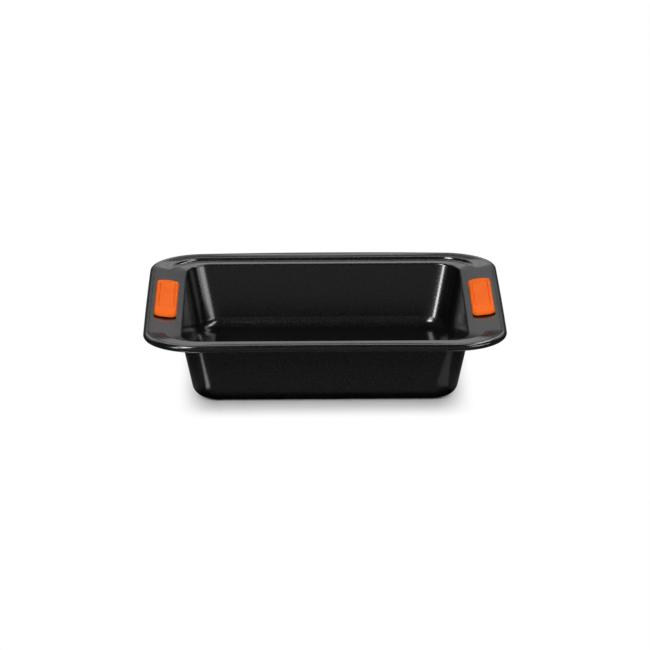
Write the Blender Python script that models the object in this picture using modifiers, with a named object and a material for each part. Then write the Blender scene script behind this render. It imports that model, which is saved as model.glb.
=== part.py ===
"""Square cake pan: a pressed, coated steel sheet, a wire in its rolled edge and two silicone grips.

Metres, +Z up. The origin is the middle of the base's underside. The grips lie at +X and -X, and
+Y is the back.
"""

import math

import bmesh
import bpy
from mathutils import Matrix, Vector

MM = 0.001

# The sheet and the tray that is pressed into it. A bend is the radius on the inside of the fold.
SHEET = 0.9 * MM
RIM_HEIGHT = 56.0 * MM
OPENING_WIDTH = 228.0 * MM
OPENING_CORNER = 21.4 * MM
WALL_DRAFT = math.radians(11.3)
BASE_BEND = 10.1 * MM
LIP_BEND = 1.1 * MM

# The front and back rims: an inner band, a step up, and an outer band out to the rolled edge
INNER_BAND = 6.3 * MM
INNER_BAND_RISE = 0.8 * MM
STEP_RISE = 2.6 * MM
STEP_SLOPE = math.radians(57.0)
STEP_FOOT_BEND = 3.2 * MM
STEP_CREST_BEND = 0.4 * MM
OUTER_BAND = 12.55 * MM

# The plan of the rolled edge, at the middle of the wire, and of the step's crest inside it
RIM_CORNER = 42.1 * MM
RIM_SIDE_BOW = 0.25 * MM
RIM_END_BOW = 0.5 * MM
STEP_CORNER = 32.0 * MM
STEP_SIDE_INSET = 12.95 * MM
STEP_FADES_FROM = math.radians(4.0)
STEP_FADES_TO = math.radians(44.0)

# The rolled edge and its wire. The roll's top lies above the rim's height, and a little more so in
# the middle of the front and the back. It stands proud of the band beside it, with a fillet between.
WIRE_DIAMETER = 3.4 * MM
WIRE_CLEARANCE = 0.4 * MM
CURL_TURN = math.radians(290.0)
ROLL_TOP = 0.1 * MM
ROLL_ARCH = 0.65 * MM
ROLL_RISE = 0.4 * MM
ROLL_FILLET = 1.5 * MM

# The silicone grips, which fill a window in each side wing of the rim. Heights are above the wing.
GRIP_WIDTH = 18.4 * MM
GRIP_LENGTH = 101.0 * MM
GRIP_CORNER = 6.5 * MM
GRIP_END_BOW = 0.3 * MM
GRIP_TO_LIP = 5.4 * MM
GRIP_TO_CURL = 1.15 * MM
GRIP_HEIGHT = 5.0 * MM
GRIP_END_HEIGHT = 3.0 * MM
SIDE_FALL_SHARE = 0.9
BROW_WIDTH = 2.4 * MM
BROW_DEPTH = 2.0 * MM
BROW_LIMIT_SHARE = 0.8
UNDER_PAD = 2.2 * MM
UNDER_ROUNDING = 0.8 * MM
PAD_OVERLAP = 3.0 * MM
GRIP_CLEARANCE = 0.3 * MM

# The bare panel on top of a grip: a fine groove round it, inside a border that falls to the ends
SIDE_BORDER = 2.6 * MM
END_BORDER = 15.0 * MM
GROOVE_WIDTH = 0.8 * MM
GROOVE_DEPTH = 0.3 * MM
PANEL_CORNER = 2.4 * MM

# How far the flat middle of the floor stops short of its bend, and how far a cutter overruns
FLOOR_MARGIN = 3.0 * MM
CUT_OVERRUN = 2.0 * MM

# Steps of the mesh along half a side, round a corner and along half an end
PAN_STEPS = (2, 8, 3)
GRIP_STEPS = (4, 6, 2)
BASE_BEND_STEPS = 6
SMALL_BEND_STEPS = 3
FILLET_STEPS = 2
CURL_STEPS = 11
ROUNDING_STEPS = 3
BORDER_STEPS = 4
WIRE_ROUNDNESS = 2
SMOOTH_ANGLE = math.radians(40.0)
FLAT_ANGLE = math.radians(0.1)
WELD_DISTANCE = 0.001 * MM

# What follows from the sizes above
CURL_RADIUS = WIRE_DIAMETER / 2 + WIRE_CLEARANCE + SHEET
OPENING_HALF = OPENING_WIDTH / 2
LIP_HEIGHT = RIM_HEIGHT - STEP_RISE - INNER_BAND_RISE
STEP_RUN = STEP_RISE / math.tan(STEP_SLOPE)
RIM_HALF_X = OPENING_HALF + GRIP_TO_LIP + GRIP_WIDTH + GRIP_TO_CURL + CURL_RADIUS
RIM_HALF_Y = OPENING_HALF + INNER_BAND + STEP_RUN + OUTER_BAND
WIRE_HEIGHT = RIM_HEIGHT + ROLL_TOP - CURL_RADIUS
BAND_END_HEIGHT = RIM_HEIGHT + ROLL_TOP - ROLL_RISE
FILLET_TURN = math.acos(1 - ROLL_RISE / (CURL_RADIUS + ROLL_FILLET))
ROLL_RUN = (CURL_RADIUS + ROLL_FILLET) * math.sin(FILLET_TURN)
WING_RUN = RIM_HALF_X - OPENING_HALF - ROLL_RUN
WING_RISE = BAND_END_HEIGHT - LIP_HEIGHT
WING_SLOPE = math.atan2(WING_RISE, WING_RUN)
PANEL_REACH = GRIP_LENGTH / 2 - END_BORDER
CROWN_DROP = GRIP_HEIGHT - GRIP_END_HEIGHT


def make_collection(name):
    """A collection in the scene, made once."""
    collection = bpy.data.collections.get(name) or bpy.data.collections.new(name)
    if collection.name not in bpy.context.scene.collection.children:
        bpy.context.scene.collection.children.link(collection)
    return collection


def make_material(name, color, roughness, metallic):
    """A plain finish for one piece."""
    material = bpy.data.materials.new(name)
    material.use_nodes = True
    shader = material.node_tree.nodes["Principled BSDF"]
    shader.inputs["Base Color"].default_value = (*color, 1.0)
    shader.inputs["Roughness"].default_value = roughness
    shader.inputs["Metallic"].default_value = metallic
    material.diffuse_color = (*color, 1.0)
    return material


def outline(half_x, half_y, corner, bow_x, bow_y, steps):
    """Points, anticlockwise from +X, of a rounded rectangle whose sides may bow outwards.

    The half sizes are measured at the middle of the sides. A bow is how far the middle of a side
    stands out beyond the places where its corner arcs start.
    """
    side_steps, corner_steps, end_steps = steps
    core_x = half_x - corner - bow_x
    core_y = half_y - corner - bow_y
    side_turn = math.atan2(2 * bow_x, core_y)
    end_turn = math.atan2(2 * bow_y, core_x)
    quarter = []
    for step in range(side_steps):
        share = step / side_steps
        turn = math.atan2(2 * bow_x * share, core_y)
        x = core_x + bow_x * (1 - share**2) + corner * math.cos(turn)
        quarter.append((x, core_y * share + corner * math.sin(turn)))
    for step in range(corner_steps + 1):
        turn = side_turn + (math.pi / 2 - side_turn - end_turn) * step / corner_steps
        quarter.append((core_x + corner * math.cos(turn), core_y + corner * math.sin(turn)))
    for step in reversed(range(end_steps)):
        share = step / end_steps
        turn = math.atan2(2 * bow_y * share, core_x)
        y = core_y + bow_y * (1 - share**2) + corner * math.cos(turn)
        quarter.append((core_x * share + corner * math.sin(turn), y))
    back_half = quarter + [(-x, y) for x, y in reversed(quarter[:-1])]
    return back_half + [(-x, -y) for x, y in back_half[1:-1]]


def opening_outline(reach, corner):
    """The tray's outline, as far outside the corner of the lip as reach says."""
    half = OPENING_HALF + reach
    return outline(half, half, corner, 0, 0, PAN_STEPS)


def step_outline(beyond_crest):
    """The step's outline, as far outside its crest as beyond_crest says."""
    half_x = RIM_HALF_X - RIM_SIDE_BOW - STEP_SIDE_INSET + beyond_crest
    half_y = RIM_HALF_Y - OUTER_BAND + beyond_crest
    return outline(half_x, half_y, STEP_CORNER + beyond_crest, 0, 0, PAN_STEPS)


def rim_outline(outside_wire):
    """The rolled edge's outline, as far outside the middle of the wire as outside_wire says."""
    half_x = RIM_HALF_X + outside_wire
    half_y = RIM_HALF_Y + outside_wire
    return outline(half_x, half_y, RIM_CORNER + outside_wire, RIM_SIDE_BOW, RIM_END_BOW, PAN_STEPS)


def bend(start, corner, end, radius, steps):
    """Points of the arc that rounds the corner of a section between two straight runs."""
    run_in = (corner - start).normalized()
    run_out = (end - corner).normalized()
    turn = math.atan2(run_in.x * run_out.y - run_in.y * run_out.x, run_in.dot(run_out))
    first = corner - run_in * radius * math.tan(abs(turn) / 2)
    centre = first + Vector((-run_in.y, run_in.x)) * math.copysign(radius, turn)
    return [centre + Matrix.Rotation(turn * step / steps, 2) @ (first - centre) for step in range(steps + 1)]


def step_strength(point):
    """1 along the front and back, falling to 0 on the side wings as the rim goes round a corner."""
    core = OPENING_HALF - OPENING_CORNER
    turn = math.atan2(max(abs(point[1]) - core, 0), max(abs(point[0]) - core, 0))
    share = (turn - STEP_FADES_FROM) / (STEP_FADES_TO - STEP_FADES_FROM)
    share = min(max(share, 0), 1)
    return share * share * (3 - 2 * share)


def level_row(points, height):
    """One row of the sheet's upper face, all at one height."""
    return [Vector((x, y, height)) for x, y in points]


def rim_row(points, height):
    """One row of the rim, at its height on the step or, on the wings, on the slope up from the lip."""
    lip = opening_outline(0, OPENING_CORNER)
    band_end = rim_outline(-ROLL_RUN)
    row = []
    for point, inner, outer in zip(points, lip, band_end):
        share = math.dist(point, inner) / math.dist(outer, inner)
        slope_height = LIP_HEIGHT + WING_RISE * share
        strength = step_strength(inner)
        row.append(Vector((*point, strength * height + (1 - strength) * slope_height)))
    return row


def roll_lift(x):
    """How far the rolled edge rises towards the middle of the front and the back."""
    straight_half = RIM_HALF_X - RIM_SIDE_BOW - RIM_CORNER
    return ROLL_ARCH * max(1 - (x / straight_half) ** 2, 0)


def roll_row(outside_wire, height):
    """One row of the rolled edge or of the fillet inside it."""
    return [Vector((x, y, height + roll_lift(x))) for x, y in rim_outline(outside_wire)]


def sheet_rows():
    """Rows of points over the sheet's upper face, from the floor to the end of the rolled edge."""
    floor_middle = Vector((-OPENING_HALF, SHEET))
    base_corner = Vector(((SHEET - LIP_HEIGHT) * math.tan(WALL_DRAFT), SHEET))
    lip_corner = Vector((0, LIP_HEIGHT))
    foot_corner = Vector((INNER_BAND, LIP_HEIGHT + INNER_BAND_RISE))
    crest_corner = Vector((INNER_BAND + STEP_RUN, RIM_HEIGHT))
    rim_end = Vector((RIM_HALF_Y - OPENING_HALF, RIM_HEIGHT))

    base_bend = bend(floor_middle, base_corner, lip_corner, BASE_BEND, BASE_BEND_STEPS)
    lip_bend = bend(base_corner, lip_corner, foot_corner, LIP_BEND + SHEET, SMALL_BEND_STEPS)
    foot_bend = bend(lip_corner, foot_corner, crest_corner, STEP_FOOT_BEND, SMALL_BEND_STEPS)
    crest_bend = bend(foot_corner, crest_corner, rim_end, STEP_CREST_BEND + SHEET, SMALL_BEND_STEPS)

    wall_foot = base_bend[-1].x
    floor_reach = base_bend[0].x - FLOOR_MARGIN
    floor_corner = OPENING_CORNER + floor_reach - wall_foot
    rows = [level_row(opening_outline(floor_reach, floor_corner), SHEET)]
    for reach, height in base_bend:
        rows.append(level_row(opening_outline(reach, OPENING_CORNER + reach - wall_foot), height))
    for reach, height in lip_bend:
        rows.append(level_row(opening_outline(reach, OPENING_CORNER + reach), height))
    for reach, height in foot_bend + crest_bend:
        rows.append(rim_row(step_outline(reach - crest_corner.x), height))
    for step in range(FILLET_STEPS):
        angle = FILLET_TURN * step / FILLET_STEPS
        height = BAND_END_HEIGHT + ROLL_FILLET * (1 - math.cos(angle))
        rows.append(roll_row(ROLL_FILLET * math.sin(angle) - ROLL_RUN, height))
    for step in range(CURL_STEPS + 1):
        angle = math.pi / 2 + FILLET_TURN - (FILLET_TURN + CURL_TURN) * step / CURL_STEPS
        height = WIRE_HEIGHT + CURL_RADIUS * math.sin(angle)
        rows.append(roll_row(CURL_RADIUS * math.cos(angle), height))
    return rows


def loft(name, rows, closed):
    """A mesh through rows of points, each outside or below the last, with the first one filled."""
    count = len(rows[0])
    surface = bmesh.new()
    grid = [[surface.verts.new(point) for point in row] for row in rows]
    surface.faces.new(grid[0])
    for inner, outer in zip(grid, grid[1:]):
        for index in range(count):
            following = (index + 1) % count
            surface.faces.new((inner[index], outer[index], outer[following], inner[following]))
    if closed:
        surface.faces.new(reversed(grid[-1]))
    mesh = bpy.data.meshes.new(name)
    surface.to_mesh(mesh)
    surface.free()
    shade(mesh)
    return mesh


def shade(mesh):
    """Smooth shading that keeps the sharp edges sharp."""
    mesh.shade_smooth()
    mesh.set_sharp_from_angle(angle=SMOOTH_ANGLE)


def add_object(name, data, collection, material=None):
    """A named object in its collection."""
    new_object = bpy.data.objects.new(name, data)
    collection.objects.link(new_object)
    if material:
        data.materials.append(material)
    return new_object


def curve_to_mesh(curve_object, collection):
    """The curve's solid as a welded mesh object with whole caps, in the curve's place."""
    bpy.context.view_layer.update()
    evaluated = curve_object.evaluated_get(bpy.context.evaluated_depsgraph_get())
    mesh = bpy.data.meshes.new_from_object(evaluated)
    welded = bmesh.new()
    welded.from_mesh(mesh)
    bmesh.ops.remove_doubles(welded, verts=welded.verts, dist=WELD_DISTANCE)
    bmesh.ops.dissolve_limit(welded, angle_limit=FLAT_ANGLE, verts=welded.verts, edges=welded.edges)
    welded.to_mesh(mesh)
    welded.free()
    name = curve_object.name
    place = curve_object.matrix_world.copy()
    bpy.data.objects.remove(curve_object)
    mesh_object = add_object(name, mesh, collection)
    mesh_object.matrix_world = place
    return mesh_object


def make_prism(name, points, bottom, top, place, collection):
    """A flat outline made thick from bottom to top."""
    curve = bpy.data.curves.new(name, "CURVE")
    curve.dimensions = "2D"
    curve.fill_mode = "BOTH"
    curve.extrude = (top - bottom) / 2
    spline = curve.splines.new("POLY")
    spline.points.add(len(points) - 1)
    for spline_point, (x, y) in zip(spline.points, points):
        spline_point.co = (x, y, 0, 1)
    spline.use_cyclic_u = True
    prism = add_object(name, curve, collection)
    prism.matrix_world = place @ Matrix.Translation((0, 0, (top + bottom) / 2))
    return curve_to_mesh(prism, collection)


def add_cut(target, cutter):
    """One exact cut out of the target by another solid, which stays hidden as a guide."""
    modifier = target.modifiers.new(f"cut by {cutter.name}", "BOOLEAN")
    modifier.operation = "DIFFERENCE"
    modifier.solver = "EXACT"
    modifier.object = cutter
    cutter.hide_render = True
    cutter.display_type = "WIRE"


def grip_outline(inset):
    """The grip's outline, inset by the same distance all round."""
    half_width = GRIP_WIDTH / 2 - inset
    half_length = GRIP_LENGTH / 2 - inset
    return outline(half_width, half_length, GRIP_CORNER - inset, 0, GRIP_END_BOW, GRIP_STEPS)


def panel_outline(outside):
    """The outline of the panel on top of a grip, as far outside it as outside says."""
    half_width = GRIP_WIDTH / 2 - SIDE_BORDER - GROOVE_WIDTH + outside
    half_length = PANEL_REACH - GROOVE_WIDTH + outside
    return outline(half_width, half_length, PANEL_CORNER + outside, 0, 0, GRIP_STEPS)


def crown_height(x, y):
    """How high a grip's top is: level in the middle, falling past the panel, and most at the sides."""
    past_panel = max(abs(y) - PANEL_REACH, 0) / END_BORDER
    to_side = abs(x) / (GRIP_WIDTH / 2)
    return GRIP_HEIGHT - CROWN_DROP * past_panel**2 * (1 + SIDE_FALL_SHARE * to_side**2)


def crown_row(points, below):
    """One row on the grip's top, the same depth below its crown all round."""
    return [Vector((x, y, crown_height(x, y) - below)) for x, y in points]


def brow_row(turn):
    """One row of the rounded brow, which turns from the grip's top down into its side."""
    row = []
    for x, y in grip_outline(BROW_WIDTH * (1 - math.sin(turn))):
        top = crown_height(x, y)
        depth = min(BROW_DEPTH, BROW_LIMIT_SHARE * (top - GRIP_CLEARANCE))
        row.append(Vector((x, y, top - depth * (1 - math.cos(turn)))))
    return row


def grip_rows():
    """Rows of points over a grip, from the panel on its top, down its side, to its underside."""
    groove = panel_outline(GROOVE_WIDTH)
    brow = grip_outline(BROW_WIDTH)
    rows = [crown_row(panel_outline(0), 0)]
    rows.append(crown_row(panel_outline(0), GROOVE_DEPTH))
    rows.append(crown_row(groove, GROOVE_DEPTH))
    for step in range(BORDER_STEPS):
        share = step / BORDER_STEPS
        between = [Vector(inner).lerp(Vector(outer), share) for inner, outer in zip(groove, brow)]
        rows.append(crown_row(between, 0))
    for step in range(ROUNDING_STEPS + 1):
        rows.append(brow_row(math.pi / 2 * step / ROUNDING_STEPS))

    over_wing = GRIP_CLEARANCE
    under_wing = -SHEET - GRIP_CLEARANCE
    underside = under_wing - UNDER_PAD
    neck = grip_outline(PAD_OVERLAP + GRIP_CLEARANCE)
    rows.append(level_row(grip_outline(0), over_wing))
    rows.append(level_row(neck, over_wing))
    rows.append(level_row(neck, under_wing))
    rows.append(level_row(grip_outline(0), under_wing))
    for step in range(ROUNDING_STEPS + 1):
        angle = math.pi / 2 * step / ROUNDING_STEPS
        inset = UNDER_ROUNDING * (1 - math.cos(angle))
        rows.append(level_row(grip_outline(inset), underside + UNDER_ROUNDING * (1 - math.sin(angle))))
    return rows


def grip_place(side):
    """Where a grip sits: the middle of its window on the wing's upper face, tilted as the wing is."""
    reach = GRIP_TO_LIP + GRIP_WIDTH / 2
    height = LIP_HEIGHT + WING_RISE * reach / WING_RUN
    move = Matrix.Translation((side * (OPENING_HALF + reach), 0, height))
    return move @ Matrix.Rotation(-side * WING_SLOPE, 4, "Y")


def make_pan_shell(parts, cutters):
    """The one pressed sheet, with a window for a grip in each wing."""
    coating = make_material("charcoal_non_stick", (0.016, 0.016, 0.017), 0.38, 0.3)
    shell = add_object("pan_shell", loft("pan_shell", sheet_rows(), False), parts, coating)

    solidify = shell.modifiers.new("sheet thickness", "SOLIDIFY")
    solidify.thickness = SHEET
    solidify.offset = -1
    solidify.use_even_offset = True
    solidify.use_quality_normals = True

    for name, side in (("left", -1), ("right", 1)):
        bottom = -SHEET - CUT_OVERRUN
        window = grip_outline(PAD_OVERLAP)
        place = grip_place(side)
        cutter = make_prism(f"{name}_window_cutter", window, bottom, CUT_OVERRUN, place, cutters)
        add_cut(shell, cutter)


def make_rim_wire(parts):
    """The round wire that the edge of the sheet is rolled round."""
    curve = bpy.data.curves.new("rim_wire", "CURVE")
    curve.dimensions = "3D"
    curve.bevel_depth = WIRE_DIAMETER / 2
    curve.bevel_resolution = WIRE_ROUNDNESS
    points = rim_outline(0)
    spline = curve.splines.new("POLY")
    spline.points.add(len(points) - 1)
    for spline_point, (x, y) in zip(spline.points, points):
        spline_point.co = (x, y, WIRE_HEIGHT + roll_lift(x), 1)
    spline.use_cyclic_u = True
    steel = make_material("bare_steel_wire", (0.55, 0.55, 0.56), 0.35, 1.0)
    add_object("rim_wire", curve, parts, steel)


def make_grip(name, side, parts):
    """One moulded silicone piece: a pad above the wing, a pad below, and a neck through the window."""
    silicone = make_material(f"{name}_silicone", (0.80, 0.14, 0.02), 0.45, 0.0)
    grip = add_object(name, loft(name, grip_rows(), True), parts, silicone)
    grip.matrix_world = grip_place(side)


def main():
    for old_object in list(bpy.data.objects):
        bpy.data.objects.remove(old_object)
    parts = make_collection("square_cake_pan")
    cutters = make_collection("cutters")
    make_pan_shell(parts, cutters)
    make_rim_wire(parts)
    make_grip("left_grip", -1, parts)
    make_grip("right_grip", 1, parts)


main()
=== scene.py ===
import math

import bmesh
import bpy
from mathutils import Matrix, Vector


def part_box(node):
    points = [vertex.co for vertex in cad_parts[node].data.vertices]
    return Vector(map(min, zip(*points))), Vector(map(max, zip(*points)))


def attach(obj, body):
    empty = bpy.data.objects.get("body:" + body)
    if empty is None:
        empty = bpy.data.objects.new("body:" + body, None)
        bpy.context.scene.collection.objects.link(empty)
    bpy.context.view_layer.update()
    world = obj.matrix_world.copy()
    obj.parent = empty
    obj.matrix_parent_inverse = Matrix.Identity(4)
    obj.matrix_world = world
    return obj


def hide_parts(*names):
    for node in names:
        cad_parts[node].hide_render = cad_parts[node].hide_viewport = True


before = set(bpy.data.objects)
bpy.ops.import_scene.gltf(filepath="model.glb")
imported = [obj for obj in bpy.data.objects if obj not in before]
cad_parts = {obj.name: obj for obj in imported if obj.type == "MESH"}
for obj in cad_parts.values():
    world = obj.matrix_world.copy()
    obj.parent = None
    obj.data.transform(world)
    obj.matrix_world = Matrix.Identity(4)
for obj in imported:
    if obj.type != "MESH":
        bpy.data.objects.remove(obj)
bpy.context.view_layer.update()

# Camera
# A long lens stands about 3.5 m in front of the pan and looks down on it by 16.5 degrees, so that
# the far and the near rim keep nearly the same width, as in the photograph.
MM = 0.001
SENSOR_WIDTH = 36.0
LENS = 235.2
VIEW_DROP = math.radians(16.5)
VIEW_YAW = math.radians(-0.425)
VIEW_ROLL = math.radians(-0.225)
VIEW_TARGET = Vector((0.62, -6.39, 34.43)) * MM
VIEW_DISTANCE = 3465.5 * MM

camera_data = bpy.data.cameras.new("photo_camera")
camera_data.sensor_width = SENSOR_WIDTH
camera_data.lens = LENS
camera = bpy.data.objects.new("photo_camera", camera_data)
bpy.context.scene.collection.objects.link(camera)
view_turn = (
    Matrix.Rotation(VIEW_YAW, 4, "Z")
    @ Matrix.Rotation(math.pi / 2 - VIEW_DROP, 4, "X")
    @ Matrix.Rotation(VIEW_ROLL, 4, "Z")
)
view_back = view_turn.to_3x3() @ Vector((0, 0, 1))
camera.matrix_world = Matrix.Translation(VIEW_TARGET + view_back * VIEW_DISTANCE) @ view_turn
bpy.context.scene.camera = camera

# Pan shell
# One blank of 0.9 mm steel, pressed into a deep tray with a stepped rim and two wider wings. Its
# edge is rolled down round a wire, a window for a grip is punched in each wing, and the whole sheet
# is sprayed with a charcoal non-stick coating, which dries with a fine grain.
SHEET = 0.9 * MM
OPENING_HALF = 114.0 * MM
OPENING_CORNER = 21.4 * MM
WALL_DRAFT = math.radians(11.3)
BASE_BEND = 10.1 * MM
LIP_BEND = 1.1 * MM
INNER_BAND = 7.1 * MM
INNER_BAND_RISE = 0.8 * MM
STEP_RISE = 2.6 * MM
STEP_SLOPE = math.radians(57.0)
STEP_FOOT_BEND = 3.2 * MM
STEP_CREST_BEND = 0.4 * MM
STEP_CORNER = 32.0 * MM
STEP_SIDE_INSET = 12.95 * MM
STEP_FADES_FROM = math.radians(4.0)
STEP_FADES_TO = math.radians(44.0)
OUTER_BAND = 11.75 * MM
RIM_CORNER = 42.1 * MM
RIM_SIDE_BOW = 0.25 * MM
RIM_END_BOW = 0.5 * MM
CURL_RADIUS = 3.0 * MM
CURL_TURN = math.radians(290.0)
ROLL_TOP = 0.1 * MM
ROLL_ARCH = 0.65 * MM
ROLL_RISE = 0.4 * MM
ROLL_FILLET = 1.0 * MM
FLOOR_MARGIN = 3.0 * MM

# The outer band is flat for most of its width. The higher this power is, the later the band lifts.
LIFT_LATENESS = 8

# Steps of the mesh along half a side, round a corner and along half an end, and over each bend
SHELL_STEPS = (10, 28, 14)
BEND_STEPS = 10
BAND_STEPS = 8
FILLET_STEPS = 6
CURL_STEPS = 36
SMOOTH_ANGLE = math.radians(35.0)

shell_low, shell_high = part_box("pan_shell")
RIM_HEIGHT = shell_high.z - ROLL_TOP - ROLL_ARCH
RIM_HALF_X = shell_high.x - CURL_RADIUS
RIM_HALF_Y = shell_high.y - CURL_RADIUS
LIP_HEIGHT = RIM_HEIGHT - STEP_RISE - INNER_BAND_RISE
STEP_RUN = STEP_RISE / math.tan(STEP_SLOPE)
WIRE_HEIGHT = RIM_HEIGHT + ROLL_TOP - CURL_RADIUS
BAND_END_HEIGHT = RIM_HEIGHT + ROLL_TOP - ROLL_RISE
FILLET_TURN = math.acos(1 - ROLL_RISE / (CURL_RADIUS + ROLL_FILLET))
ROLL_RUN = (CURL_RADIUS + ROLL_FILLET) * math.sin(FILLET_TURN)
WING_RUN = RIM_HALF_X - OPENING_HALF - ROLL_RUN
WING_RISE = BAND_END_HEIGHT - LIP_HEIGHT
WING_SLOPE = math.atan2(WING_RISE, WING_RUN)


def outline(half_x, half_y, corner, bow_x, bow_y, steps):
    """Points, anticlockwise from +X, of a rounded rectangle whose sides may bow outwards."""
    side_steps, corner_steps, end_steps = steps
    core_x = half_x - corner - bow_x
    core_y = half_y - corner - bow_y
    side_turn = math.atan2(2 * bow_x, core_y)
    end_turn = math.atan2(2 * bow_y, core_x)
    quarter = []
    for step in range(side_steps):
        share = step / side_steps
        turn = math.atan2(2 * bow_x * share, core_y)
        x = core_x + bow_x * (1 - share**2) + corner * math.cos(turn)
        quarter.append((x, core_y * share + corner * math.sin(turn)))
    for step in range(corner_steps + 1):
        turn = side_turn + (math.pi / 2 - side_turn - end_turn) * step / corner_steps
        quarter.append((core_x + corner * math.cos(turn), core_y + corner * math.sin(turn)))
    for step in reversed(range(end_steps)):
        share = step / end_steps
        turn = math.atan2(2 * bow_y * share, core_x)
        y = core_y + bow_y * (1 - share**2) + corner * math.cos(turn)
        quarter.append((core_x * share + corner * math.sin(turn), y))
    back_half = quarter + [(-x, y) for x, y in reversed(quarter[:-1])]
    return back_half + [(-x, -y) for x, y in back_half[1:-1]]


def opening_outline(reach, corner):
    """The tray's outline, as far outside the corner of the lip as reach says."""
    half = OPENING_HALF + reach
    return outline(half, half, corner, 0, 0, SHELL_STEPS)


def step_outline(beyond_crest):
    """The step's outline, as far outside its crest as beyond_crest says."""
    half_x = RIM_HALF_X - RIM_SIDE_BOW - STEP_SIDE_INSET + beyond_crest
    half_y = RIM_HALF_Y - OUTER_BAND + beyond_crest
    return outline(half_x, half_y, STEP_CORNER + beyond_crest, 0, 0, SHELL_STEPS)


def rim_outline(outside_wire):
    """The rolled edge's outline, as far outside the middle of the wire as outside_wire says."""
    corner = RIM_CORNER + outside_wire
    half_x = RIM_HALF_X + outside_wire
    half_y = RIM_HALF_Y + outside_wire
    return outline(half_x, half_y, corner, RIM_SIDE_BOW, RIM_END_BOW, SHELL_STEPS)


def bend(start, corner, end, radius):
    """Points of the arc that rounds the corner of a section between two straight runs."""
    run_in = (corner - start).normalized()
    run_out = (end - corner).normalized()
    turn = math.atan2(run_in.x * run_out.y - run_in.y * run_out.x, run_in.dot(run_out))
    first = corner - run_in * radius * math.tan(abs(turn) / 2)
    centre = first + Vector((-run_in.y, run_in.x)) * math.copysign(radius, turn)
    turns = [turn * step / BEND_STEPS for step in range(BEND_STEPS + 1)]
    return [centre + Matrix.Rotation(angle, 2) @ (first - centre) for angle in turns]


def step_strength(point):
    """1 along the front and back, falling to 0 on the side wings as the rim goes round a corner."""
    x, y = point
    core = OPENING_HALF - OPENING_CORNER
    turn = math.atan2(max(abs(y) - core, 0), max(abs(x) - core, 0))
    share = (turn - STEP_FADES_FROM) / (STEP_FADES_TO - STEP_FADES_FROM)
    share = min(max(share, 0), 1)
    return share * share * (3 - 2 * share)


def level_row(points, height):
    """One row of a lofted surface, all at one height."""
    return [Vector((x, y, height)) for x, y in points]


def rim_row(points, height):
    """One row of the rim, at its height on the step or, on the wings, on the slope up from the lip."""
    row = []
    for point, inner, outer in zip(points, opening_outline(0, OPENING_CORNER), rim_outline(-ROLL_RUN)):
        share = math.dist(point, inner) / math.dist(outer, inner)
        slope_height = LIP_HEIGHT + WING_RISE * share
        strength = step_strength(inner)
        row.append(Vector((*point, strength * height + (1 - strength) * slope_height)))
    return row


def roll_lift(x):
    """How far the rolled edge rises towards the middle of the front and the back."""
    straight_half = RIM_HALF_X - RIM_SIDE_BOW - RIM_CORNER
    return ROLL_ARCH * max(1 - (x / straight_half) ** 2, 0)


def roll_row(outside_wire, height):
    """One row of the rolled edge or of the fillet inside it."""
    return [Vector((x, y, height + roll_lift(x))) for x, y in rim_outline(outside_wire)]


def band_row(crest_end, band_end, share):
    """One row across the outer band, which is flat at first and lifts late to meet the rolled edge."""
    row = []
    for inner, outer in zip(crest_end, band_end):
        point = inner.lerp(outer, share)
        point.z -= roll_lift(outer.x) * (share - share**LIFT_LATENESS)
        row.append(point)
    return row


def sheet_rows():
    """Rows of points over the sheet's upper face, from the floor to the end of the rolled edge."""
    floor_middle = Vector((-OPENING_HALF, SHEET))
    base_corner = Vector(((SHEET - LIP_HEIGHT) * math.tan(WALL_DRAFT), SHEET))
    lip_corner = Vector((0, LIP_HEIGHT))
    foot_corner = Vector((INNER_BAND, LIP_HEIGHT + INNER_BAND_RISE))
    crest_corner = Vector((INNER_BAND + STEP_RUN, RIM_HEIGHT))
    rim_end = Vector((RIM_HALF_Y - OPENING_HALF, RIM_HEIGHT))

    base_bend = bend(floor_middle, base_corner, lip_corner, BASE_BEND)
    lip_bend = bend(base_corner, lip_corner, foot_corner, LIP_BEND + SHEET)
    foot_bend = bend(lip_corner, foot_corner, crest_corner, STEP_FOOT_BEND)
    crest_bend = bend(foot_corner, crest_corner, rim_end, STEP_CREST_BEND + SHEET)

    wall_foot = base_bend[-1].x
    floor_reach = base_bend[0].x - FLOOR_MARGIN
    floor_corner = OPENING_CORNER + floor_reach - wall_foot
    rows = [level_row(opening_outline(floor_reach, floor_corner), SHEET)]
    for reach, height in base_bend:
        rows.append(level_row(opening_outline(reach, OPENING_CORNER + reach - wall_foot), height))
    for reach, height in lip_bend:
        rows.append(level_row(opening_outline(reach, OPENING_CORNER + reach), height))
    for reach, height in foot_bend + crest_bend:
        rows.append(rim_row(step_outline(reach - crest_corner.x), height))
    crest_end = rows[-1]
    band_end = roll_row(-ROLL_RUN, BAND_END_HEIGHT)
    for step in range(1, BAND_STEPS):
        rows.append(band_row(crest_end, band_end, step / BAND_STEPS))
    for step in range(FILLET_STEPS):
        angle = FILLET_TURN * step / FILLET_STEPS
        height = BAND_END_HEIGHT + ROLL_FILLET * (1 - math.cos(angle))
        rows.append(roll_row(ROLL_FILLET * math.sin(angle) - ROLL_RUN, height))
    for step in range(CURL_STEPS + 1):
        angle = math.pi / 2 + FILLET_TURN - (FILLET_TURN + CURL_TURN) * step / CURL_STEPS
        height = WIRE_HEIGHT + CURL_RADIUS * math.sin(angle)
        rows.append(roll_row(CURL_RADIUS * math.cos(angle), height))
    return rows


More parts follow.
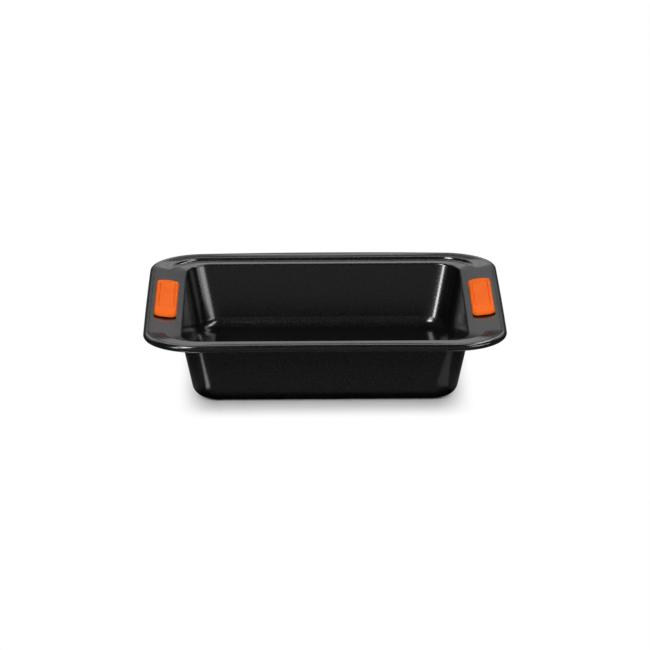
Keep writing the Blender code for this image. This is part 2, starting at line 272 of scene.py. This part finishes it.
def loft(name, rows, closed):
    """A mesh object through rows of points, each outside or below the last, with the first one filled."""
    count = len(rows[0])
    surface = bmesh.new()
    grid = [[surface.verts.new(point) for point in row] for row in rows]
    surface.faces.new(grid[0])
    for inner, outer in zip(grid, grid[1:]):
        for index in range(count):
            following = (index + 1) % count
            surface.faces.new((inner[index], outer[index], outer[following], inner[following]))
    if closed:
        surface.faces.new(reversed(grid[-1]))
    mesh = bpy.data.meshes.new(name)
    surface.to_mesh(mesh)
    surface.free()
    lofted = bpy.data.objects.new(name, mesh)
    bpy.context.scene.collection.objects.link(lofted)
    return lofted


def settle(piece):
    """Turn the piece's modifiers into its final mesh, shaded smooth with its sharp edges kept."""
    bpy.context.view_layer.update()
    evaluated = piece.evaluated_get(bpy.context.evaluated_depsgraph_get())
    mesh = bpy.data.meshes.new_from_object(evaluated)
    piece.modifiers.clear()
    piece.data = mesh
    mesh.shade_smooth()
    mesh.set_sharp_from_angle(angle=SMOOTH_ANGLE)


def add_node(owner, kind, **settings):
    """One shader node of a material or of the room, with the settings that it names."""
    node = owner.node_tree.nodes.new(kind)
    for setting, value in settings.items():
        setattr(node, setting, value)
    return node


def start_material(name):
    """A new material, its main shader, and the place of each point in the piece's own space."""
    material = bpy.data.materials.new(name)
    material.use_nodes = True
    shader = material.node_tree.nodes["Principled BSDF"]
    place = add_node(material, "ShaderNodeTexCoord").outputs["Object"]
    return material, shader, place


def noise(material, place, size, detail=2.0, roughness=0.5):
    """Cloudy noise, whose largest spots are about as wide as size says."""
    node = add_node(material, "ShaderNodeTexNoise")
    node.inputs["Scale"].default_value = 1 / size
    node.inputs["Detail"].default_value = detail
    node.inputs["Roughness"].default_value = roughness
    material.node_tree.links.new(place, node.inputs["Vector"])
    return node.outputs["Fac"]


def ramp(owner, source, stops):
    """A colour ramp on a grey value: each stop is a place and a colour."""
    node = add_node(owner, "ShaderNodeValToRGB")
    owner.node_tree.links.new(source, node.inputs["Fac"])
    elements = node.color_ramp.elements
    while len(elements) < len(stops):
        elements.new(1.0)
    for element, (place, colour) in zip(elements, stops):
        element.position = place
        element.color = (*colour, 1.0)
    return node.outputs["Color"]


def grey_ramp(owner, source, stops):
    """A ramp of greys on a grey value: each stop is a place and a grey."""
    return ramp(owner, source, [(place, (grey, grey, grey)) for place, grey in stops])


def add_relief(material, shader, source, strength, depth):
    """Fine relief from a grey value, as deep as depth says."""
    bump = add_node(material, "ShaderNodeBump")
    bump.inputs["Strength"].default_value = strength
    bump.inputs["Distance"].default_value = depth
    material.node_tree.links.new(source, bump.inputs["Height"])
    material.node_tree.links.new(bump.outputs["Normal"], shader.inputs["Normal"])


COATING_GRAIN = 0.9 * MM
COATING_RELIEF = 0.012 * MM
COATING_CLOUD = 40.0 * MM
FLECK_SPACING = 1.3 * MM
CHARCOAL_GREYS = [(0.38, 0.0005), (0.66, 0.0075)]
FLECK_GREYS = [(0.0, 0.013), (0.16, 0.0)]
COATING_ROUGHNESS = [(0.3, 0.12), (0.7, 0.20)]
CLOUD_ROUGHNESS = [(0.35, 0.0), (0.65, 0.02)]


def make_coating():
    """Charcoal non-stick: near black and satin, with a fine grain and faint lighter flecks."""
    material, shader, place = start_material("charcoal_non_stick")
    links = material.node_tree.links
    grain = noise(material, place, COATING_GRAIN, detail=3.0, roughness=0.6)
    cloud = noise(material, place, COATING_CLOUD)
    fleck = add_node(material, "ShaderNodeTexVoronoi")
    fleck.inputs["Scale"].default_value = 1 / FLECK_SPACING
    links.new(place, fleck.inputs["Vector"])

    colour = add_node(material, "ShaderNodeMix", data_type="RGBA", blend_type="ADD")
    colour.inputs["Factor"].default_value = 1.0
    links.new(grey_ramp(material, grain, CHARCOAL_GREYS), colour.inputs["A"])
    links.new(grey_ramp(material, fleck.outputs["Distance"], FLECK_GREYS), colour.inputs["B"])
    links.new(colour.outputs["Result"], shader.inputs["Base Color"])

    roughness = add_node(material, "ShaderNodeMath", operation="ADD")
    links.new(grey_ramp(material, grain, COATING_ROUGHNESS), roughness.inputs[0])
    links.new(grey_ramp(material, cloud, CLOUD_ROUGHNESS), roughness.inputs[1])
    links.new(roughness.outputs["Value"], shader.inputs["Roughness"])
    add_relief(material, shader, grain, strength=0.5, depth=COATING_RELIEF)

    shader.inputs["Metallic"].default_value = 0.0
    shader.inputs["IOR"].default_value = 1.5
    shader.inputs["Specular IOR Level"].default_value = 0.16
    return material


GRIP_WIDTH = 18.4 * MM
GRIP_LENGTH = 101.0 * MM
GRIP_CORNER = 6.5 * MM
GRIP_END_BOW = 0.3 * MM
GRIP_TO_LIP = 5.4 * MM
WINDOW_INSET = 3.0 * MM
WINDOW_STEPS = (4, 8, 3)
PUNCH_OVERRUN = 2.0 * MM


def grip_outline(inset, steps):
    """The grip's outline, inset by the same distance all round."""
    half_width = GRIP_WIDTH / 2 - inset
    half_length = GRIP_LENGTH / 2 - inset
    return outline(half_width, half_length, GRIP_CORNER - inset, 0, GRIP_END_BOW, steps)


def grip_place(side):
    """Where a grip sits: the middle of its window on the wing's upper face, tilted as the wing is."""
    reach = GRIP_TO_LIP + GRIP_WIDTH / 2
    height = LIP_HEIGHT + WING_RISE * reach / WING_RUN
    move = Matrix.Translation((side * (OPENING_HALF + reach), 0, height))
    return move @ Matrix.Rotation(-side * WING_SLOPE, 4, "Y")


def punch(side):
    """The solid that punches the window for one grip."""
    window = grip_outline(WINDOW_INSET, WINDOW_STEPS)
    rows = [level_row(window, PUNCH_OVERRUN), level_row(window, -SHEET - PUNCH_OVERRUN)]
    tool = loft("window_punch", rows, True)
    tool.matrix_world = grip_place(side)
    return tool


pan_shell = loft("pan_shell_fine", sheet_rows(), False)
thickness = pan_shell.modifiers.new("sheet thickness", "SOLIDIFY")
thickness.thickness = SHEET
thickness.offset = -1
thickness.use_even_offset = True
thickness.use_quality_normals = True
punches = [punch(-1), punch(1)]
for tool in punches:
    window = pan_shell.modifiers.new("grip window", "BOOLEAN")
    window.operation = "DIFFERENCE"
    window.solver = "EXACT"
    window.object = tool
settle(pan_shell)
for tool in punches:
    bpy.data.objects.remove(tool)
pan_shell.data.materials.clear()
pan_shell.data.materials.append(make_coating())
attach(pan_shell, "root")
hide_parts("pan_shell")

# Rim wire
# Plain drawn steel, bent to the rim's outline and butted behind. The sheet is rolled round it with a
# little air, so far that next to nothing of the wire shows from outside.
WIRE_RADIUS = 1.7 * MM
WIRE_ROUNDNESS = 6
WIRE_GRAIN = 0.25 * MM
WIRE_RELIEF = 0.01 * MM
WIRE_PATCH = 12.0 * MM
STEEL_COLOURS = [(0.3, (0.42, 0.42, 0.43)), (0.7, (0.60, 0.60, 0.61))]
STEEL_ROUGHNESS = [(0.3, 0.28), (0.7, 0.46)]


def make_wire_steel():
    """Drawn steel: a very fine grain, and patches that are darker than the rest."""
    material, shader, place = start_material("drawn_steel")
    links = material.node_tree.links
    grain = noise(material, place, WIRE_GRAIN)
    patches = noise(material, place, WIRE_PATCH)
    links.new(ramp(material, patches, STEEL_COLOURS), shader.inputs["Base Color"])
    links.new(grey_ramp(material, grain, STEEL_ROUGHNESS), shader.inputs["Roughness"])
    add_relief(material, shader, grain, strength=0.4, depth=WIRE_RELIEF)
    shader.inputs["Metallic"].default_value = 1.0
    return material


wire_curve = bpy.data.curves.new("rim_wire_fine", "CURVE")
wire_curve.dimensions = "3D"
wire_curve.bevel_depth = WIRE_RADIUS
wire_curve.bevel_resolution = WIRE_ROUNDNESS
wire_points = rim_outline(0)
wire_line = wire_curve.splines.new("POLY")
wire_line.points.add(len(wire_points) - 1)
for line_point, (x, y) in zip(wire_line.points, wire_points):
    line_point.co = (x, y, WIRE_HEIGHT + roll_lift(x), 1)
wire_line.use_cyclic_u = True
rim_wire = bpy.data.objects.new("rim_wire_fine", wire_curve)
bpy.context.scene.collection.objects.link(rim_wire)
wire_curve.materials.append(make_wire_steel())
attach(rim_wire, "root")
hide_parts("rim_wire")

# Grips
# Orange silicone, each moulded in one piece: a pad on top of the wing, a thin one below it and a
# neck through the window between them. A fine groove frames the bare panel on top, and past the
# panel the pad curves down to each end.
GRIP_HEIGHT = 5.0 * MM
GRIP_END_HEIGHT = 3.0 * MM
SIDE_FALL_SHARE = 0.9
BROW_WIDTH = 2.4 * MM
BROW_DEPTH = 2.0 * MM
BROW_LIMIT_SHARE = 0.8
UNDER_PAD = 2.2 * MM
UNDER_ROUNDING = 0.8 * MM
SEAT_GAP = 0.1 * MM
SEAT_TUCK = 1.6 * MM
NECK_GAP = 0.3 * MM
SIDE_BORDER = 2.5 * MM
END_BORDER = 15.0 * MM
GROOVE_WIDTH = 1.0 * MM
GROOVE_DEPTH = 0.7 * MM
PANEL_CORNER = 2.4 * MM
GRIP_STEPS = (40, 16, 10)
ROUNDING_STEPS = 8
BORDER_STEPS = 6
GROOVE_STEPS = 8

PANEL_REACH = GRIP_LENGTH / 2 - END_BORDER
CROWN_DROP = GRIP_HEIGHT - GRIP_END_HEIGHT

SILICONE_GRAIN = 0.5 * MM
SILICONE_RELIEF = 0.015 * MM
SILICONE_CLOUD = 9.0 * MM
SILICONE_GLOW_DEPTH = 1.2 * MM
ORANGE_COLOURS = [(0.3, (0.78, 0.114, 0.003)), (0.7, (0.83, 0.128, 0.005))]
SATIN_ROUGHNESS = [(0.3, 0.52), (0.7, 0.64)]


def panel_outline(outside):
    """The outline of the panel on top of a grip, as far outside it as outside says."""
    half_width = GRIP_WIDTH / 2 - SIDE_BORDER - GROOVE_WIDTH + outside
    half_length = PANEL_REACH - GROOVE_WIDTH + outside
    return outline(half_width, half_length, PANEL_CORNER + outside, 0, 0, GRIP_STEPS)


def crown_height(x, y):
    """How high a grip's top is: level in the middle, falling past the panel, and most at the sides."""
    past_panel = max(abs(y) - PANEL_REACH, 0) / END_BORDER
    to_side = abs(x) / (GRIP_WIDTH / 2)
    return GRIP_HEIGHT - CROWN_DROP * past_panel**2 * (1 + SIDE_FALL_SHARE * to_side**2)


def crown_row(points, below):
    """One row on the grip's top, the same depth below its crown all round."""
    return [Vector((x, y, crown_height(x, y) - below)) for x, y in points]


def brow_row(turn):
    """One row of the rounded brow, which turns from the grip's top down into its side."""
    row = []
    for x, y in grip_outline(BROW_WIDTH * (1 - math.sin(turn)), GRIP_STEPS):
        top = crown_height(x, y)
        depth = min(BROW_DEPTH, BROW_LIMIT_SHARE * (top - NECK_GAP))
        row.append(Vector((x, y, top - depth * (1 - math.cos(turn)))))
    return row


def grip_rows():
    """Rows of points over a grip, from the panel on its top, down its side, to its underside."""
    rows = []
    for step in range(GROOVE_STEPS + 1):
        share = step / GROOVE_STEPS
        depth = GROOVE_DEPTH * math.sin(math.pi * share)
        rows.append(crown_row(panel_outline(GROOVE_WIDTH * share), depth))
    groove = panel_outline(GROOVE_WIDTH)
    brow = grip_outline(BROW_WIDTH, GRIP_STEPS)
    for step in range(1, BORDER_STEPS):
        share = step / BORDER_STEPS
        between = [Vector(inner).lerp(Vector(outer), share) for inner, outer in zip(groove, brow)]
        rows.append(crown_row(between, 0))
    for step in range(ROUNDING_STEPS + 1):
        rows.append(brow_row(math.pi / 2 * step / ROUNDING_STEPS))

    under_wing = -SHEET - SEAT_GAP
    underside = under_wing - UNDER_PAD
    pad = grip_outline(0, GRIP_STEPS)
    neck = grip_outline(WINDOW_INSET + NECK_GAP, GRIP_STEPS)
    rows.append(level_row(grip_outline(SEAT_TUCK, GRIP_STEPS), SEAT_GAP))
    rows.append(level_row(neck, SEAT_GAP))
    rows.append(level_row(neck, under_wing))
    rows.append(level_row(pad, under_wing))
    for step in range(ROUNDING_STEPS + 1):
        angle = math.pi / 2 * step / ROUNDING_STEPS
        inset = UNDER_ROUNDING * (1 - math.cos(angle))
        height = underside + UNDER_ROUNDING * (1 - math.sin(angle))
        rows.append(level_row(grip_outline(inset, GRIP_STEPS), height))
    return rows


def make_silicone():
    """Orange silicone: satin, a little see-through at thin edges, with a fine moulded grain."""
    material, shader, place = start_material("orange_silicone")
    links = material.node_tree.links
    grain = noise(material, place, SILICONE_GRAIN, detail=3.0)
    cloud = noise(material, place, SILICONE_CLOUD)
    links.new(ramp(material, cloud, ORANGE_COLOURS), shader.inputs["Base Color"])
    links.new(grey_ramp(material, grain, SATIN_ROUGHNESS), shader.inputs["Roughness"])
    add_relief(material, shader, grain, strength=0.4, depth=SILICONE_RELIEF)
    shader.inputs["Specular IOR Level"].default_value = 0.02
    shader.inputs["Subsurface Weight"].default_value = 0.12
    shader.inputs["Subsurface Radius"].default_value = (1.0, 0.35, 0.12)
    shader.inputs["Subsurface Scale"].default_value = SILICONE_GLOW_DEPTH
    return material


silicone = make_silicone()
for grip_name, side in (("left_grip", -1), ("right_grip", 1)):
    grip = loft(f"{grip_name}_fine", grip_rows(), True)
    grip.data.transform(grip_place(side))
    settle(grip)
    grip.data.materials.clear()
    grip.data.materials.append(silicone)
    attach(grip, "root")
    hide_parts(grip_name)

# Floor
# A plain white matt table top, large enough to fill the view. It takes the soft shadow near the pan
# and is pure white further out. The sheet doesn't mirror the lit table but a painted reflection of it, a
# glow seen only by reflections: painted shade at the pan's foot, pale in front, dimmer at the sides and
# behind.
FLOOR_HALF = 6.0
FLOOR_GAP = 0.05 * MM
FLOOR_COLOUR = (0.95, 0.95, 0.95)
FLOOR_ROUGHNESS = 0.9
SIDE_SHADOW = (88.0 * MM, 120.0 * MM)
FRONT_SHADOW = (150.0 * MM, 230.0 * MM)

# How bright the painted reflection of the table is, by its distance from the pan's foot, in shares of the
# reach: painted shade at the foot, then pale with a dimmer dip, and brightest far out.
FOOT_HALF = 95.0 * MM
MIRROR_REACH = 400.0 * MM
PAINTED_REFLECTION_GREYS = [
    (0.0, 0.0),
    (0.03, 0.01),
    (0.055, 0.5),
    (0.09, 0.48),
    (0.15, 0.34),
    (0.3, 0.7),
    (1.0, 1.0),
]

# The painted reflection dims towards the sides, by the sine of the turn from straight ahead, and towards
# the back, as painted shade.
SIDE_TURN = (0.62, 0.9)
SIDE_DIMNESS = 0.25
BACK_FALL = (150.0 * MM, 300.0 * MM)
BACK_DIMNESS = 0.12


def math_node(material, operation, first, second=0.0):
    """A maths node on two values, each a socket or a number."""
    node = add_node(material, "ShaderNodeMath", operation=operation)
    for socket, value in zip(node.inputs, (first, second)):
        if isinstance(value, bpy.types.NodeSocket):
            material.node_tree.links.new(value, socket)
        else:
            socket.default_value = value
    return node.outputs["Value"]


def smooth_range(owner, source, span, ends):
    """A value that goes smoothly from the first to the second of the ends across the span."""
    node = add_node(owner, "ShaderNodeMapRange", interpolation_type="SMOOTHSTEP")
    owner.node_tree.links.new(source, node.inputs["Value"])
    node.inputs["From Min"].default_value = span[0]
    node.inputs["From Max"].default_value = span[1]
    node.inputs["To Min"].default_value = ends[0]
    node.inputs["To Max"].default_value = ends[1]
    return node.outputs["Result"]


def mix_shaders(material, share, first, second):
    """The first shader where the share is 0 and the second where it is 1."""
    node = add_node(material, "ShaderNodeMixShader")
    for socket, value in zip(node.inputs, (share, first, second)):
        material.node_tree.links.new(value, socket)
    return node.outputs["Shader"]


def make_floor_white():
    """Matt white that takes the shadow, glowing white further out, and a dimmer painted reflection of it.
    """
    material, matt, place = start_material("floor_white")
    material.cycles.emission_sampling = "NONE"
    links = material.node_tree.links
    matt.inputs["Base Color"].default_value = (*FLOOR_COLOUR, 1.0)
    matt.inputs["Roughness"].default_value = FLOOR_ROUGHNESS
    matt.inputs["Specular IOR Level"].default_value = 0.0
    path = add_node(material, "ShaderNodeLightPath")
    axes = add_node(material, "ShaderNodeSeparateXYZ")
    links.new(place, axes.inputs["Vector"])
    sideways = math_node(material, "ABSOLUTE", axes.outputs["X"])
    lengthways = math_node(material, "ABSOLUTE", axes.outputs["Y"])
    distance = add_node(material, "ShaderNodeVectorMath", operation="LENGTH")
    links.new(place, distance.inputs[0])

    past_side = smooth_range(material, sideways, SIDE_SHADOW, (0.0, 1.0))
    past_front = smooth_range(material, lengthways, FRONT_SHADOW, (0.0, 1.0))
    past_shadow = math_node(material, "MAXIMUM", past_side, past_front)
    seen_white = math_node(material, "MULTIPLY", past_shadow, path.outputs["Is Camera Ray"])
    white = add_node(material, "ShaderNodeEmission")
    seen = mix_shaders(material, seen_white, matt.outputs["BSDF"], white.outputs["Emission"])

    from_middle = math_node(material, "MAXIMUM", sideways, lengthways)
    from_foot = math_node(material, "SUBTRACT", from_middle, FOOT_HALF)
    reach = math_node(material, "DIVIDE", from_foot, MIRROR_REACH)
    turn = math_node(material, "DIVIDE", sideways, distance.outputs["Value"])
    at_side = smooth_range(material, turn, SIDE_TURN, (1.0, SIDE_DIMNESS))
    far = smooth_range(material, distance.outputs["Value"], BACK_FALL, (1.0, BACK_DIMNESS))
    in_front = math_node(material, "LESS_THAN", axes.outputs["Y"], 0.0)
    behind = math_node(material, "MAXIMUM", far, in_front)
    # A glow that only the sheet's reflections see, in place of the lit table: a painted reflection, with
    # painted shade near the foot.
    painted_reflection = add_node(material, "ShaderNodeEmission")
    links.new(grey_ramp(material, reach, PAINTED_REFLECTION_GREYS), painted_reflection.inputs["Color"])
    links.new(math_node(material, "MULTIPLY", at_side, behind), painted_reflection.inputs["Strength"])

    surface = mix_shaders(material, path.outputs["Is Glossy Ray"], seen, painted_reflection.outputs["Emission"])
    links.new(surface, material.node_tree.nodes["Material Output"].inputs["Surface"])
    return material


floor_shape = bmesh.new()
bmesh.ops.create_grid(floor_shape, x_segments=1, y_segments=1, size=FLOOR_HALF)
floor_mesh = bpy.data.meshes.new("floor")
floor_shape.to_mesh(floor_mesh)
floor_shape.free()
floor = bpy.data.objects.new("floor", floor_mesh)
bpy.context.scene.collection.objects.link(floor)
floor.location.z = shell_low.z - FLOOR_GAP
floor_mesh.materials.append(make_floor_white())

# Studio light
# One wide soft lamp above the front lights the pan and its shadow. The softboxes, panels and cards
# round it only show as reflections in the sheet, and light nothing else.
LAMP_DISTANCE = 2.0
LAMP_ELEVATION = 60.0
LAMP_HALF_ANGLE = math.radians(38.0)
LAMP_RADIANCE = 3.05
PANEL_DISTANCE = 1.5
NEARER_DISTANCE = 1.45


def add_light(name, light, place, radiance, area):
    """A flat light that the camera doesn't see, of the given brightness."""
    light.energy = radiance * math.pi * area
    lamp = bpy.data.objects.new(name, light)
    bpy.context.scene.collection.objects.link(lamp)
    lamp.matrix_world = place
    lamp.visible_camera = False
    return lamp


def facing_pan(azimuth, elevation, distance=PANEL_DISTANCE):
    """A place that far from the pan and turned to it. Azimuth 0 is in front, and 90 to the right."""
    turn = Matrix.Rotation(math.radians(azimuth), 4, "Z")
    tilt = Matrix.Rotation(math.pi / 2 - math.radians(elevation), 4, "X")
    aim = Matrix.Translation((0, 0, RIM_HEIGHT / 2))
    return aim @ turn @ tilt @ Matrix.Translation((0, 0, distance))


def add_reflection(name, place, width, height, radiance):
    """A flat rectangle of light that shows in the sheet and lights nothing else."""
    light = bpy.data.lights.new(name, "AREA")
    light.shape = "RECTANGLE"
    light.size = width
    light.size_y = height
    shown = add_light(name, light, place, radiance, width * height)
    shown.visible_diffuse = False


lamp_light = bpy.data.lights.new("front_lamp", "AREA")
lamp_light.shape = "DISK"
lamp_light.size = 2 * LAMP_DISTANCE * math.tan(LAMP_HALF_ANGLE)
lamp_place = facing_pan(0.0, LAMP_ELEVATION, LAMP_DISTANCE)
lamp_area = math.pi * (lamp_light.size / 2) ** 2
front_lamp = add_light("front_lamp", lamp_light, lamp_place, LAMP_RADIANCE, lamp_area)
front_lamp.visible_glossy = False

low_softbox_place = facing_pan(-38.0, 31.0, NEARER_DISTANCE)
panel_core_place = facing_pan(53.0, 9.0, NEARER_DISTANCE)
add_reflection("left_strip", facing_pan(-50.0, 11.0), width=0.26, height=0.30, radiance=75.0)
add_reflection("left_softbox", facing_pan(-40.0, 52.0), width=0.4, height=0.5, radiance=68.0)
add_reflection("left_softbox_low", low_softbox_place, width=0.4, height=0.65, radiance=28.0)
add_reflection("right_panel", facing_pan(63.0, 9.0), width=0.95, height=0.55, radiance=9.0)
add_reflection("right_panel_core", panel_core_place, width=0.62, height=0.53, radiance=12.0)
add_reflection("right_softbox", facing_pan(90.0, 55.0), width=1.7, height=0.28, radiance=27.0)
add_reflection("back_softbox", facing_pan(180.0, 65.0), width=1.6, height=0.18, radiance=14.0)

# Two narrow cards lie face up on the table, one by each front corner of the pan.
CARD_TURN = math.radians(47.0)
CARD_SIDEWAYS = 119.0 * MM
CARD_FORWARD = 127.0 * MM
CARD_LIFT = 0.5 * MM
CARD_LENGTH = 44.0 * MM
CARDS = [("left_card", -1, 8.0 * MM, 10.0), ("right_card", 1, 26.0 * MM, 1.1)]

for card_name, side, card_width, card_radiance in CARDS:
    card_place = (
        Matrix.Translation((side * CARD_SIDEWAYS, -CARD_FORWARD, CARD_LIFT))
        @ Matrix.Rotation(side * CARD_TURN, 4, "Z")
        @ Matrix.Rotation(math.pi, 4, "X")
    )
    add_reflection(card_name, card_place, card_width, CARD_LENGTH, card_radiance)

# Studio room
# The walls and the ceiling show only as reflections in the sheet, and light nothing else. The wall
# behind the pan has pale bands and dark ones, the one in front is dim, and the sides are nearly dark.
ROOM_PEAK = 3.0
SIDE_WALL_GREY = 0.04

# Each wall's greys, by the height of the direction: 0 is level with the pan and 1 straight up
BACK_WALL_GREYS = [
    (0.0, 0.03),
    (0.14, 0.03),
    (0.2, 0.05),
    (0.293, 0.05),
    (0.333, 0.74),
    (0.37, 0.6),
    (0.42, 0.3),
    (0.48, 1.0),
    (0.75, 1.0),
    (0.88, 0.07),
    (1.0, 0.05),
]
FRONT_WALL_GREYS = [(0.0, 0.34), (0.17, 0.32), (0.5, 0.14), (0.8, 0.08), (1.0, 0.05)]

# How far backwards a direction points where the side walls give way to the other two
BACK_WALL_SPAN = (0.2, 0.7)
FRONT_WALL_SPAN = (-0.7, -0.2)


def mix_walls(room, share, first, second):
    """The first wall's colour where the share is 0 and the second's where it is 1."""
    node = add_node(room, "ShaderNodeMix", data_type="RGBA")
    room.node_tree.links.new(share, node.inputs["Factor"])
    room.node_tree.links.new(first, node.inputs["A"])
    room.node_tree.links.new(second, node.inputs["B"])
    return node.outputs["Result"]


room = bpy.data.worlds.new("studio_room")
bpy.context.scene.world = room
room.use_nodes = True
room.cycles_visibility.diffuse = False
room_links = room.node_tree.links
direction = add_node(room, "ShaderNodeTexCoord").outputs["Generated"]
room_axes = add_node(room, "ShaderNodeSeparateXYZ")
room_links.new(direction, room_axes.inputs["Vector"])
side_wall = add_node(room, "ShaderNodeRGB").outputs["Color"]
side_wall.default_value = (SIDE_WALL_GREY, SIDE_WALL_GREY, SIDE_WALL_GREY, 1.0)
front_wall = grey_ramp(room, room_axes.outputs["Z"], FRONT_WALL_GREYS)
back_wall = grey_ramp(room, room_axes.outputs["Z"], BACK_WALL_GREYS)
front_share = smooth_range(room, room_axes.outputs["Y"], FRONT_WALL_SPAN, (1.0, 0.0))
back_share = smooth_range(room, room_axes.outputs["Y"], BACK_WALL_SPAN, (0.0, 1.0))
walls = mix_walls(room, front_share, side_wall, front_wall)
walls = mix_walls(room, back_share, walls, back_wall)
backdrop = room.node_tree.nodes["Background"]
room_links.new(walls, backdrop.inputs["Color"])
backdrop.inputs["Strength"].default_value = ROOM_PEAK

bpy.context.scene.view_settings.view_transform = "Standard"
